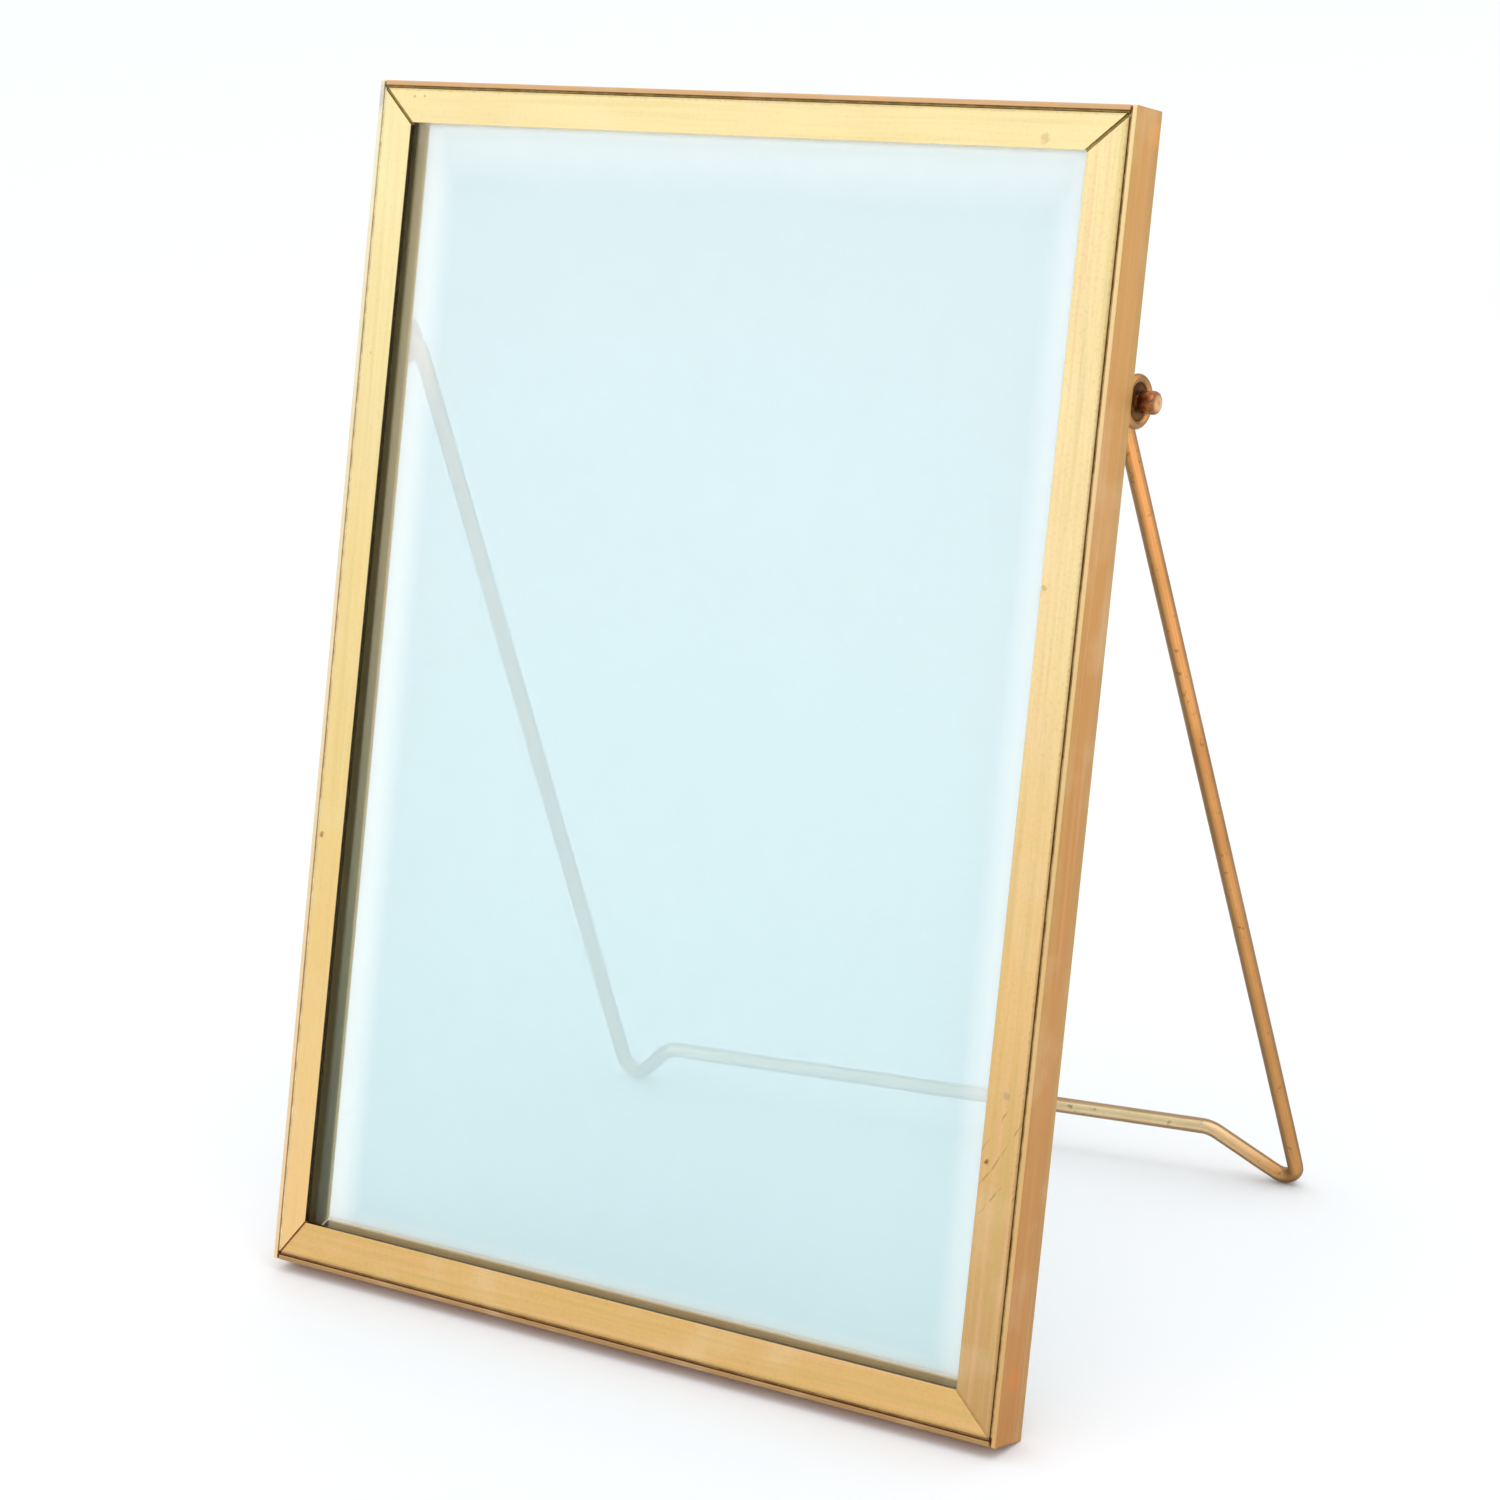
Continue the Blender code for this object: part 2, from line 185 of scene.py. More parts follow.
# Turned pieces on the hinge line: share of the length, and radius in millimetres.
PEENED_OUTLINE = ((0.0, 1.42), (0.06, 1.6), (0.75, 1.64), (0.87, 1.5), (0.96, 1.15), (1.0, 0.6))
COLLAR_OUTLINE = ((0.1, 1.4), (0.0, 1.8), (0.15, 2.5), (0.5, 2.75), (0.85, 2.5), (1.0, 1.8),
                  (0.9, 1.4))
TURNED_SIDES = 32
HEAD_START = 0.72 * MM             # from the middle of the eye's ring
HEAD_INSET = 0.01 * MM             # from the wire's own tip
COLLAR_LENGTH = 1.0 * MM

# Glass, and the pale veil of reflected studio light on it.
GLASS_TINT = (0.90, 0.97, 0.975)
PANE_SHADE = (0.80, 0.84, 0.87)    # part of a lamp's light that each pane face lets through
VEIL_TOP = (0.86, 0.94, 0.935)
VEIL_LOW = (0.745, 0.91, 0.90)
HALO = (1.0, 1.0, 0.97)
CHANNEL_GLOW_TOP = (0.68, 0.54, 0.29)
CHANNEL_GLOW_LOW = (0.40, 0.48, 0.26)
BOTTOM_GLOW = (0.68, 0.42, 0.15)
HALO_LIFT = 0.16                   # light added to the veil where it is whitest
TOP_LIFT = 0.09                    # and along the top, where the cap shades it
VEIL_PER_FACE = 0.30               # share of each pane face that is pale reflection, not clear glass
VEIL_LEAN = 0.55                   # how far across the pattern moves for each step deeper
FRONT_PANE_DEPTH = 1.4             # in millimetres, where that pattern is in its own place
CHANNEL_VEIL = (0.09, 1.08)        # part of that share over the dark channel, at its bottom and top
LEAST_VEIL = 0.09                  # part of it right beside the left strip
SILL_VEIL = 0.4                    # part of it just above the sill

# Where the veil changes, in millimetres. Each pair is where a change is full and where it is nil.
CHANNEL_STARTS = (0.9, 0.3)        # past the left strip
CHANNEL_ENDS = (2.9, 2.5)
HALO_LEFT = (3.2, 9.5)
HALO_RIGHT = (0.5, 6.0)            # before the right strip
HALO_TOP = (6.5, 8.5)              # below the top of the casing
SOFT_HALO_TOP = (9.0, 16.0)
LIFT_TOP = (6.5, 12.0)
HALO_BOTTOM = (8.5, 11.0)          # above the bottom of the casing
ABOVE_SILL = (8.4, 7.0)
ABOVE_GLOW = (8.4, 7.6)
RIGHT_HALO = 0.8                   # strength of the white before the right strip
SOFT_HALO = 0.5                    # of its soft start below the top
BOTTOM_HALO = 0.25                 # and of the white at the bottom

# How deep the bumps of each finish are.
BRASS_BUMPS = 0.04 * MM
WIRE_BUMPS = 0.04 * MM
SOLDER_BUMPS = 0.1 * MM
SEAM_BUMPS = 0.06 * MM
PEENED_BUMPS = 0.08 * MM


def add_node(tree, kind, inputs=(), **settings):
    """Adds a shader node, with its settings and its inputs, each a value or another node's output."""
    made = tree.nodes.new(kind)
    for name, value in settings.items():
        setattr(made, name, value)
    for key, value in dict(inputs).items():
        if isinstance(value, bpy.types.NodeSocket):
            tree.links.new(value, made.inputs[key])
        else:
            made.inputs[key].default_value = value
    return made


def calculate(tree, operation, first, second=0.0):
    """The result of a Math node."""
    return add_node(tree, "ShaderNodeMath", {0: first, 1: second}, operation=operation).outputs[0]


def remap(tree, value, low, high, to_low=0.0, to_high=1.0, smooth=False):
    """The value moved from one range to another and held inside it."""
    inputs = {"Value": value, "From Min": low, "From Max": high, "To Min": to_low, "To Max": to_high}
    shape = "SMOOTHSTEP" if smooth else "LINEAR"
    return add_node(tree, "ShaderNodeMapRange", inputs, interpolation_type=shape).outputs[0]


def blend_colours(tree, share, first, second):
    """Two colours mixed by a share from 0 to 1."""
    made = add_node(tree, "ShaderNodeMix", data_type="RGBA")
    for socket, value in ((made.inputs[0], share), (made.inputs[6], first), (made.inputs[7], second)):
        if isinstance(value, bpy.types.NodeSocket):
            tree.links.new(value, socket)
        elif isinstance(value, tuple):
            socket.default_value = (*value, 1.0)
        else:
            socket.default_value = value
    return made.outputs[2]


def split(tree, vector):
    """The three parts of a vector."""
    return tuple(add_node(tree, "ShaderNodeSeparateXYZ", {0: vector}).outputs)


def stretched(tree, coordinates, scale):
    """Coordinates stretched by a factor along each axis."""
    made = add_node(tree, "ShaderNodeVectorMath", {0: coordinates, 1: scale}, operation="MULTIPLY")
    return made.outputs[0]


def noise(tree, coordinates, scale, detail=2.0, roughness=0.5):
    """A noise value from 0 to 1. The scale is in waves per unit of the coordinates."""
    inputs = {"Vector": coordinates, "Scale": scale, "Detail": detail, "Roughness": roughness}
    return add_node(tree, "ShaderNodeTexNoise", inputs).outputs["Fac"]


def surface_normal(tree):
    """The way that the surface faces."""
    return add_node(tree, "ShaderNodeNewGeometry").outputs["Normal"]


def facing(tree, way):
    """How squarely the surface faces a way, from -1 to 1."""
    made = add_node(tree, "ShaderNodeVectorMath", {0: surface_normal(tree), 1: way},
                    operation="DOT_PRODUCT")
    return made.outputs["Value"]


def object_coordinates(tree):
    """Coordinates in metres, in the row frame while the piece is at rest."""
    return add_node(tree, "ShaderNodeTexCoord").outputs["Object"]


def new_material(name):
    """A node material, its tree and its Principled shader."""
    material = bpy.data.materials.new(name)
    material.use_nodes = True
    tree = material.node_tree
    return material, tree, tree.nodes["Principled BSDF"]


def connect_metal(tree, shader, colour, roughness, height, strength, distance, metallic=1.0):
    """Gives a metal's shader its colour and roughness, and bumps of a height, strength and depth."""
    bump = add_node(tree, "ShaderNodeBump",
                    {"Strength": strength, "Distance": distance, "Height": height})
    shader.inputs["Metallic"].default_value = metallic
    tree.links.new(colour, shader.inputs["Base Color"])
    tree.links.new(roughness, shader.inputs["Roughness"])
    tree.links.new(bump.outputs[0], shader.inputs["Normal"])


class Casing:
    """The casing's own upright axes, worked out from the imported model."""

    def __init__(self):
        lift = next(joint for joint in frame["joints"] if joint["name"] == "cap_lift")
        self.lean = math.atan2(lift["axis"][1], lift["axis"][2])
        low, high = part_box("left_wall")
        span = high - low
        spread = math.cos(2 * self.lean)
        height = (span.z * math.cos(self.lean) - span.y * math.sin(self.lean)) / spread
        depth = (span.y * math.cos(self.lean) - span.z * math.sin(self.lean)) / spread
        self.tall = height / MM
        self.origin = Vector((0.0, low.y, low.z + depth * math.sin(self.lean)))
        self.opening_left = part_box("left_front_strip")[1].x / MM
        self.opening_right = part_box("right_front_strip")[0].x / MM
        self.turn = Euler((-self.lean, 0.0, 0.0)).to_matrix()
        self.front = self.turn @ Vector((0.0, -1.0, 0.0))

    def place(self, across, deep, up):
        """A point of the casing in the row frame: across from its middle, back from its front, up."""
        return self.origin + self.turn @ Vector((across, deep, up))

    def coordinates(self, tree):
        """Shader coordinates in millimetres: X across, Y from front to back, Z up the casing."""
        upright = self.turn.inverted()
        offset = -(upright @ self.origin)
        mapping = add_node(tree, "ShaderNodeMapping", {
            "Vector": object_coordinates(tree),
            "Location": tuple(offset / MM),
            "Rotation": (self.lean, 0.0, 0.0),
            "Scale": (1 / MM, 1 / MM, 1 / MM),
        })
        return mapping.outputs[0]


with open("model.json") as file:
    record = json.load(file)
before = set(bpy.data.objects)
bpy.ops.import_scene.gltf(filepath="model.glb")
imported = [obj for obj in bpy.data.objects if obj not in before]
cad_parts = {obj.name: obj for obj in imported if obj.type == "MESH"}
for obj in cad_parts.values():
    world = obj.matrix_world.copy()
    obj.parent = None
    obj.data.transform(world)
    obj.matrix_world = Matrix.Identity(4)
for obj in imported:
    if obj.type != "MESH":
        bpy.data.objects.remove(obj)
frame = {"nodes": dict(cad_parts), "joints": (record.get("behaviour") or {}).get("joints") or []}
cad_low, cad_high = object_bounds()
casing = Casing()


def spread_tints(tree, up, tints):
    """Tints at even steps from the bottom of the casing to its top."""
    ramp = add_node(tree, "ShaderNodeValToRGB", {0: remap(tree, up, 0.0, casing.tall)})
    ramp.color_ramp.elements[0].color = (*tints[0], 1.0)
    ramp.color_ramp.elements[1].color = (*tints[-1], 1.0)
    for number, tint in enumerate(tints[1:-1], start=1):
        element = ramp.color_ramp.elements.new(number / (len(tints) - 1))
        element.color = (*tint, 1.0)
    return ramp.outputs[0]


def light_wall_edges(tree, colour, deep, up, rim_light_tints):
    """A wall's front edge takes its own tints, painted light and shade, and the wall grows darker
    towards its back edge.
    """
    painted_light = blend_colours(tree, remap(tree, up, 0.0, casing.tall), *rim_light_tints)
    colour = blend_colours(tree, remap(tree, facing(tree, casing.front), 0.45, 0.9), colour, painted_light)
    back_edge = remap(tree, deep, 4.2, 7.0, 0.0, 0.55)
    return blend_colours(tree, back_edge, colour, BACK_EDGE_COLOUR)


def add_grain(tree, colour, coordinates, stretch, brushed, speckle, grain):
    """Fine brushed lines, broader olive and rosy ones, and a fine speckle."""
    darker = remap(tree, brushed, 0.42, 0.75, 0.0, GRAIN_STRENGTH * grain)
    colour = blend_colours(tree, darker, colour, GRAIN_COLOUR)
    mottles = noise(tree, stretched(tree, coordinates, stretch), MOTTLE_WIDTH)
    olive = remap(tree, mottles, 0.52, 0.68, 0.0, MOTTLE_STRENGTH * grain)
    colour = blend_colours(tree, olive, colour, OLIVE_COLOUR)
    rosy = remap(tree, mottles, 0.47, 0.32, 0.0, MOTTLE_STRENGTH * grain)
    colour = blend_colours(tree, rosy, colour, ROSY_COLOUR)
    darker = remap(tree, speckle, 0.5, 0.8, 0.0, SPECKLE_STRENGTH * grain)
    return blend_colours(tree, darker, colour, SPECKLE_COLOUR)


def add_seam_shade(tree, colour, position, speckle, edge, strength):
    """Painted shade that spreads from the seam along an outer edge."""
    away = calculate(tree, "ABSOLUTE", calculate(tree, "SUBTRACT", position, edge))
    away = calculate(tree, "ADD", away, remap(tree, speckle, 0.3, 0.7, -0.12, 0.12))
    return blend_colours(tree, remap(tree, away, 0.1, 0.5, strength, 0.0), colour, SEAM_SHADE_COLOUR)


def add_mark(tree, colour, coordinates, speckle, centre, radius, strength, mark_colour):
    """A small stain with a ragged edge."""
    distance = add_node(tree, "ShaderNodeVectorMath", {0: coordinates, 1: centre},
                        operation="DISTANCE").outputs["Value"]
    ragged_by = remap(tree, speckle, 0.3, 0.7, -0.3 * radius, 0.3 * radius)
    ragged = calculate(tree, "ADD", distance, ragged_by)
    spot = remap(tree, ragged, radius, radius * 0.3, 0.0, strength, smooth=True)
    return blend_colours(tree, spot, colour, mark_colour)


def scratch_lines(tree, coordinates, across, up):
    """A few long slanted scratches near the bottom, as a value from 0 to 1."""
    slanted = calculate(tree, "SUBTRACT", calculate(tree, "MULTIPLY", across, SCRATCH_SLOPE[0]),
                        calculate(tree, "MULTIPLY", up, SCRATCH_SLOPE[1]))
    wander = calculate(tree, "MULTIPLY", noise(tree, coordinates, 0.12), SCRATCH_WANDER)
    phase = calculate(tree, "MULTIPLY", calculate(tree, "ADD", slanted, wander), SCRATCH_WAVES)
    lines = remap(tree, calculate(tree, "SINE", phase), 0.94, 1.0)
    gaps = noise(tree, stretched(tree, coordinates, (1.0, 1.0, 0.2)), 0.5)
    broken = remap(tree, gaps, 0.47, 0.56)
    within = calculate(tree, "MULTIPLY",
                       remap(tree, up, SCRATCHED_TO, SCRATCHED_TO - 4.0),
                       remap(tree, up, SCRATCHED_FROM, SCRATCHED_FROM + 2.0))
    return calculate(tree, "MULTIPLY", lines, calculate(tree, "MULTIPLY", broken, within))


def brass(name, along, tints, roughness, grain=0.5, marks=(), scratched=False, cut_edge=CUT_EDGE_SHADE,
          inward=None, rim_light_tints=None, seam_shade=None):
    """Satin brass, brushed along the piece, with tints from the bottom of the casing to the top that
    hold painted light and shade.

    inward is the way that the cut edge beside the glass faces, and cut_edge is its colour: painted
    shade on most strips and a painted highlight on the cap. The tints for a wall's front edge are
    painted light and shade there. The last argument gives an axis, a place on it in millimetres,
    and how strong the painted shade beside that seam is.
    """
    material, tree, shader = new_material(name)
    coordinates = casing.coordinates(tree)
    across, deep, up = split(tree, coordinates)
    stretch = BRUSHED_UP if along == "up" else BRUSHED_ACROSS
    brushed = noise(tree, stretched(tree, coordinates, stretch), 1.0, detail=3.0, roughness=0.6)
    speckle = noise(tree, coordinates, SPECKLE_WAVES)
    clouds = noise(tree, coordinates, CLOUD_WAVES, detail=3.0)

    colour = spread_tints(tree, up, tints)
    if rim_light_tints:
        colour = light_wall_edges(tree, colour, deep, up, rim_light_tints)
    patchy = remap(tree, clouds, 0.35, 0.7, 0.0, CLOUD_STRENGTH)
    colour = blend_colours(tree, patchy, colour, CLOUD_COLOUR)
    pale = remap(tree, noise(tree, coordinates, PALE_WAVES), 0.5, 0.72, 0.0, PALE_STRENGTH)
    colour = blend_colours(tree, pale, colour, PALE_COLOUR)
    colour = add_grain(tree, colour, coordinates, stretch, brushed, speckle, grain)
    # Painted shade beside the seam.
    if seam_shade:
        axis, edge, strength = seam_shade
        colour = add_seam_shade(tree, colour, (across, deep, up)[axis], speckle, edge, strength)
    for mark in marks:
        colour = add_mark(tree, colour, coordinates, speckle, *mark)
    height = calculate(tree, "MULTIPLY", brushed, 0.5)
    if scratched:
        lines = scratch_lines(tree, coordinates, across, up)
        share = calculate(tree, "MULTIPLY", lines, SCRATCH_STRENGTH)
        colour = blend_colours(tree, share, colour, SCRATCH_COLOUR)
        height = calculate(tree, "SUBTRACT", height, lines)
    # The cut edges beside the glass: painted shade, and a painted highlight on the cap.
    if inward:
        colour = blend_colours(tree, remap(tree, facing(tree, inward), 0.8, 0.95), colour, cut_edge)

    uneven = calculate(tree, "ADD", brushed, calculate(tree, "MULTIPLY", clouds, 0.6))
    rough = remap(tree, uneven, 0.5, 1.1, roughness - ROUGHNESS_BELOW, roughness + ROUGHNESS_ABOVE)
    connect_metal(tree, shader, colour, rough, height, 0.25, BRASS_BUMPS)
    return material


def solder(name):
    """Dull grey solder with lumps."""
    material, tree, shader = new_material(name)
    lumps = noise(tree, casing.coordinates(tree), 1.1, detail=3.0)
    colour = blend_colours(tree, lumps, *SOLDER)
    rough = remap(tree, lumps, 0.3, 0.7, 0.38, 0.6)
    connect_metal(tree, shader, colour, rough, lumps, 0.6, SOLDER_BUMPS)
    return material


def wire_brass(name):
    """Drawn brass wire: fine lines along it, browner patches, painted shade along its sides, a
    painted highlight on the crossbar, and a few dark pits.
    """
    material, tree, shader = new_material(name)
    coordinates = casing.coordinates(tree)
    clouds = noise(tree, coordinates, 0.09, detail=3.0)

    # The legs grow redder upwards, and the crossbar is paler than they are, a painted highlight.
    across, _, height = split(tree, object_coordinates(tree))
    in_bar = calculate(tree, "MULTIPLY", remap(tree, height, LEG_FOOT, BAR_TOP),
                       remap(tree, calculate(tree, "ABSOLUTE", across), LEG_SIDE, BAR_END))
    leg_colour = blend_colours(tree, remap(tree, height, LEG_LOW, LEG_HIGH), WIRE_LOW, WIRE_HIGH)
    colour = blend_colours(tree, in_bar, leg_colour, CROSSBAR_HIGHLIGHT)
    colour = blend_colours(tree, remap(tree, clouds, 0.35, 0.7, 0.0, 0.35), colour, WIRE_CLOUD_COLOUR)

    # Lines run along the wire, set by which way its surface faces. Its sides carry painted shade, and
    # its front and back a painted highlight.
    streaks = noise(tree, surface_normal(tree), 2.6)
    streaked = calculate(tree, "MULTIPLY", remap(tree, streaks, 0.5, 0.62),
                         remap(tree, in_bar, 0.0, 1.0, 0.45, 0.1))
    colour = blend_colours(tree, streaked, colour, WIRE_LINE_COLOUR)
    bright_from = remap(tree, in_bar, 0.0, 1.0, 0.86, 0.82)
    brown_from = remap(tree, in_bar, 0.0, 1.0, 0.50, 0.62)
    painted_light = calculate(tree, "ABSOLUTE", facing(tree, HIGHLIGHT_WAY))
    shaded_side = remap(tree, painted_light, bright_from, brown_from, 0.0, 0.8, smooth=True)
    colour = blend_colours(tree, shaded_side, colour, WIRE_SHADE_COLOUR)

    pits = remap(tree, noise(tree, coordinates, 0.9), 0.64, 0.72, 0.0, 0.5)
    colour = blend_colours(tree, pits, colour, WIRE_PIT_COLOUR)
    drawn = noise(tree, stretched(tree, coordinates, (3.0, 3.0, 0.1)), 1.0)
    rough = remap(tree, clouds, 0.3, 0.7, 0.42, 0.54)
    connect_metal(tree, shader, colour, rough, drawn, 0.3, WIRE_BUMPS)
    return material


def veil_share(tree, across, up, past_channel, smears):
    """How much of a pane face is veil. It is thin over the dark channel and just above the sill."""
    full, nil = (casing.opening_left + distance for distance in CHANNEL_STARTS)
    in_channel = calculate(tree, "MULTIPLY", remap(tree, across, nil, full),
                           remap(tree, up, 0.0, casing.tall, *CHANNEL_VEIL))
    from_left = calculate(tree, "MAXIMUM", calculate(tree, "MAXIMUM", in_channel, past_channel),
                          LEAST_VEIL)
    from_bottom = remap(tree, up, ABOVE_SILL[1], ABOVE_SILL[0], SILL_VEIL, 1.0, smooth=True)
    share = calculate(tree, "MULTIPLY", calculate(tree, "MULTIPLY", from_left, from_bottom),
                      VEIL_PER_FACE)
    return calculate(tree, "MULTIPLY", share, remap(tree, smears, 0.3, 0.7, 0.97, 1.03))


def veil_halo(tree, across, up):
    """How much whiter the veil is near the edges of the opening, from 0 to 1."""
    full, nil = (casing.opening_left + distance for distance in HALO_LEFT)
    at_left = remap(tree, across, full, nil, 1.0, 0.0, smooth=True)
    full, nil = (casing.opening_right - distance for distance in HALO_RIGHT)
    at_right = remap(tree, across, nil, full, 0.0, RIGHT_HALO, smooth=True)
    full, nil = (casing.tall - distance for distance in SOFT_HALO_TOP)
    below_top = remap(tree, up, nil, full, 0.0, SOFT_HALO, smooth=True)
    full, nil = (casing.tall - distance for distance in HALO_TOP)
    at_top = remap(tree, up, nil, full)
    at_bottom = remap(tree, up, HALO_BOTTOM[1], HALO_BOTTOM[0], 0.0, BOTTOM_HALO, smooth=True)
    halo = calculate(tree, "MAXIMUM", at_left, at_right)
    for part in (below_top, at_top, at_bottom):
        halo = calculate(tree, "MAXIMUM", halo, part)
    return halo


def veil_shader(tree, across, up, past_channel):
    """The veil itself: pale blue, whiter near the edges, with the brass glowing at two of them."""
    tall = casing.tall
    halo = veil_halo(tree, across, up)
    colour = blend_colours(tree, remap(tree, up, 0.0, tall), VEIL_LOW, VEIL_TOP)
    colour = blend_colours(tree, halo, colour, HALO)
    glow = blend_colours(tree, remap(tree, up, 0.0, tall * 0.6), CHANNEL_GLOW_LOW, CHANNEL_GLOW_TOP)
    colour = blend_colours(tree, past_channel, glow, colour)
    colour = blend_colours(tree, remap(tree, up, ABOVE_GLOW[1], ABOVE_GLOW[0]), BOTTOM_GLOW, colour)
    veil = add_node(tree, "ShaderNodeBsdfPrincipled", {"Base Color": colour, "Roughness": 0.6})
    veil.inputs["Emission Color"].default_value = (*HALO, 1.0)
    bright_edge = calculate(tree, "MULTIPLY", halo, past_channel)
    full, nil = (tall - distance for distance in LIFT_TOP)
    lift = calculate(tree, "ADD", calculate(tree, "MULTIPLY", bright_edge, HALO_LIFT),
                     remap(tree, up, nil, full, 0.0, TOP_LIFT, smooth=True))
    tree.links.new(lift, veil.inputs["Emission Strength"])
    return veil.outputs[0]


def pane_glass(name):
    """Clear glass with a veil of reflected studio light: pale blue, and whiter near the edges.

    Beside the left strip the glass shows the dark channel behind it, and the veil starts past that.
    Faces deeper in carry the same pattern a little further out, so that the two panes line up.
    """
    material, tree, shader = new_material(name)
    coordinates = casing.coordinates(tree)
    across, deep, up = split(tree, coordinates)
    deeper = calculate(tree, "SUBTRACT", deep, FRONT_PANE_DEPTH)
    across = calculate(tree, "ADD", across, calculate(tree, "MULTIPLY", deeper, VEIL_LEAN))

    smears = noise(tree, coordinates, 0.04, detail=4.0)
    shader.inputs["Base Color"].default_value = (*GLASS_TINT, 1.0)
    shader.inputs["Transmission Weight"].default_value = 1.0
    shader.inputs["IOR"].default_value = 1.5
    tree.links.new(remap(tree, smears, 0.4, 0.7, 0.01, 0.05), shader.inputs["Roughness"])

    full, nil = (casing.opening_left + distance for distance in CHANNEL_ENDS)
    past_channel = remap(tree, across, nil, full)
    share = veil_share(tree, across, up, past_channel, smears)
    veil = veil_shader(tree, across, up, past_channel)
    seen = add_node(tree, "ShaderNodeMixShader", {0: share, 1: shader.outputs[0], 2: veil})

    # Lamps shine through the panes.
    lamp_side = add_node(tree, "ShaderNodeBsdfTransparent", {"Color": (*PANE_SHADE, 1.0)})
    path = add_node(tree, "ShaderNodeLightPath")
    whole = add_node(tree, "ShaderNodeMixShader", {
        0: path.outputs["Is Shadow Ray"], 1: seen.outputs[0], 2: lamp_side.outputs[0]})
    tree.links.new(whole.outputs[0], tree.nodes["Material Output"].inputs["Surface"])
    return material


def strip_finishes():
    """The brass of the front strips, by piece."""
    return {
        "left_front_strip": brass("left_face_brass", "up", LEFT_FACE, LEFT_FACE_ROUGHNESS,
                                  marks=LEFT_FACE_MARKS, inward=RIGHTWARDS),
        "right_front_strip": brass("right_face_brass", "up", RIGHT_FACE, RIGHT_FACE_ROUGHNESS,
                                   grain=1.0, marks=RIGHT_FACE_MARKS, scratched=True,
                                   inward=LEFTWARDS, seam_shade=RIGHT_SEAM_SHADE),
        "cap_front_strip": brass("top_face_brass", "across", CAP_FACE, CAP_FACE_ROUGHNESS,
                                 marks=CAP_FACE_MARKS, cut_edge=CREAM_HIGHLIGHT, inward=DOWNWARDS,
                                 seam_shade=CAP_SEAM_SHADE),
        "bottom_front_strip": brass("bottom_face_brass", "across", BOTTOM_FACE,
                                    BOTTOM_FACE_ROUGHNESS, grain=1.0, inward=UPWARDS,
                                    seam_shade=BOTTOM_SEAM_SHADE),
    }


def wall_finishes():
    """The brass of the walls, by side."""
    return {
        "left": brass("left_wall_brass", "up", (WALL_TOP, CREAM_HIGHLIGHT), WALL_ROUGHNESS,
                      marks=LEFT_WALL_MARKS, rim_light_tints=LEFT_RIM),
        "right": brass("right_wall_brass", "up", (WALL_LOW, WALL_MIDDLE, WALL_TOP), WALL_ROUGHNESS,
                       marks=RIGHT_WALL_MARKS, rim_light_tints=RIGHT_RIM),
        "bottom": brass("bottom_wall_brass", "across", (WALL_LOW, WALL_LOW), WALL_ROUGHNESS,
                        rim_light_tints=BOTTOM_RIM),
        "cap": brass("top_wall_brass", "across", (WALL_TOP, WALL_TOP), WALL_ROUGHNESS,
                     rim_light_tints=CAP_RIM),
    }


def finish_nodes():
    """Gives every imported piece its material."""
    materials = strip_finishes()
    back = brass("back_brass", "up", BACK_FACE, BACK_FACE_ROUGHNESS)
    for side, wall in wall_finishes().items():
        materials[f"{side}_wall"] = wall
        materials[f"{side}_back_strip"] = back
    shared = (
        (solder("corner_solder_metal"), ("left_corner_solder", "right_corner_solder")),
        (pane_glass("pane_glass"), ("front_glass", "back_glass")),
        (wire_brass("stand_brass"), ("left_eye", "right_eye", "wire_stand")),
    )
    for material, names in shared:
        for name in names:
            materials[name] = material
    for name, material in materials.items():
        node = frame["nodes"][name]
        node.data.materials.clear()
        node.data.materials.append(material)


def round_off(name):
    """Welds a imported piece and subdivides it, so that its curves look round."""
    node = frame["nodes"][name]
    weld = node.modifiers.new("weld", "WELD")
    weld.merge_threshold = 0.005 * MM
    finer = node.modifiers.new("finer", "SUBSURF")
    finer.levels = 2
    finer.render_levels = 2


def bridge(mesh, ring, following):
    """Joins two rings of vertices with a band of faces."""
    for index in range(len(ring)):
        beside = (index + 1) % len(ring)
        mesh.faces.new([ring[index], ring[beside], following[beside], following[index]])


def finished_mesh(name, mesh):
    """The mesh that was built, with its faces turned outwards."""
    bmesh.ops.recalc_face_normals(mesh, faces=mesh.faces)
    data = bpy.data.meshes.new(name)
    mesh.to_mesh(data)
    mesh.free()
    return data


def new_piece(name, data, metal):
    """Adds an object with one material to the scene."""
    piece = bpy.data.objects.new(name, data)
    bpy.context.scene.collection.objects.link(piece)
    data.materials.append(metal)
    return piece


def seam_metal(name, dark, light, metallic=0.8):
    """Old solder and lacquer in a seam: uneven brown, with paler places where it is worn."""
    material, tree, shader = new_material(name)
    uneven = noise(tree, casing.coordinates(tree), 0.5, detail=3.0, roughness=0.65)
    colour = blend_colours(tree, remap(tree, uneven, 0.4, 0.62), dark, light)
    rough = remap(tree, uneven, 0.3, 0.7, 0.45, 0.65)
    connect_metal(tree, shader, colour, rough, uneven, 0.5, SEAM_BUMPS, metallic)
    return material


